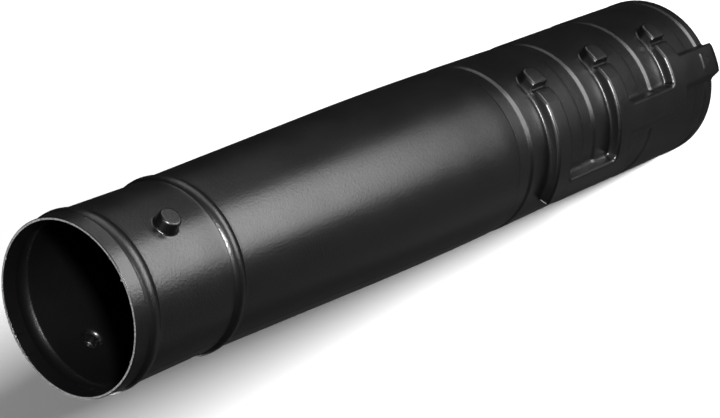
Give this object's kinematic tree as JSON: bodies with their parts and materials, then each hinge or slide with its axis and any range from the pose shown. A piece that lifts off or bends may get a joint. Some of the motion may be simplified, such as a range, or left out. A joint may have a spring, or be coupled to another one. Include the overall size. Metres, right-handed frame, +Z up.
{
  "type": "leaf blower nozzle tube",
  "caption": "Thin-walled conical blower tube with beads and locking pins at the outlet and a stepped bayonet channel on each side of its ringed socket.",
  "frame": {"origin": "centre of the socket mouth, on the tube's axis", "axes": "+Z up along the tube's axis from the socket mouth to the outlet rim; the side that the picture shows faces +X and -Y, and the locking pins and pocket ends lie 36.4 degrees from +X towards -Y"},
  "size_m": [0.0772, 0.0866, 0.3935],
  "materials": {
    "tube_plastic": "satin"
  },
  "bodies": {
    "root": {"nozzle_tube": "tube_plastic"}
  },
  "joints": []
}
